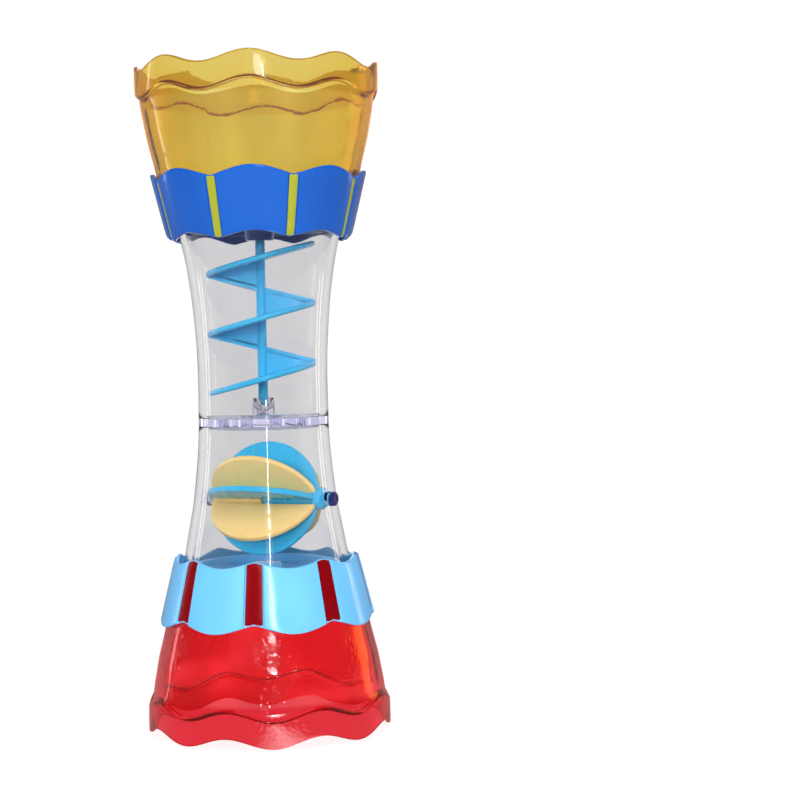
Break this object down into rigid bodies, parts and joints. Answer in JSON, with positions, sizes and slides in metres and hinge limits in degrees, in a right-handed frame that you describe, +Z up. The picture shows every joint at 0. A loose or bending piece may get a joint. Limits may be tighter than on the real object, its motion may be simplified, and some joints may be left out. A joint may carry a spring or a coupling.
{
  "type": "hourglass rain and water column toy",
  "caption": "Waisted clear column between two open scalloped cups, with a free-spinning auger above a perforated partition and a free-spinning ball-shaped paddle wheel below it.",
  "frame": {"origin": "on the column's axis, in the plane of the lower rim's resting crests", "axes": "+Z up the column; +X along the ball wheel's axle towards its push-in plug; +Y completes the right-handed frame"},
  "size_m": [0.075, 0.075, 0.205],
  "materials": {
    "amber_clear": "glossy tinted see-through plastic",
    "red_clear": "glossy tinted see-through plastic",
    "blue": "glossy",
    "pale_sky": "glossy",
    "clear": "clear polished plastic",
    "sky": "glossy",
    "cream": "satin gloss",
    "navy": "glossy"
  },
  "bodies": {
    "shell": {"upper_cup": "amber_clear", "lower_cup": "red_clear", "upper_collar": "blue", "lower_collar": "pale_sky", "upper_tube": "clear", "lower_tube": "clear", "partition_disc": "clear"},
    "auger": {"auger": "sky"},
    "wheel": {"wheel_blue_half": "sky", "wheel_cream_half": "cream", "axle_plug": "navy"}
  },
  "joints": [
    {"name": "auger_spin", "type": "hinge", "parent": "shell", "child": "auger", "pos_m": [0, 0, 0.0986], "axis": [0, 0, 1], "continuous": true},
    {"name": "wheel_spin", "type": "hinge", "parent": "shell", "child": "wheel", "pos_m": [0, 0, 0.0712], "axis": [1, 0, 0], "continuous": true}
  ]
}
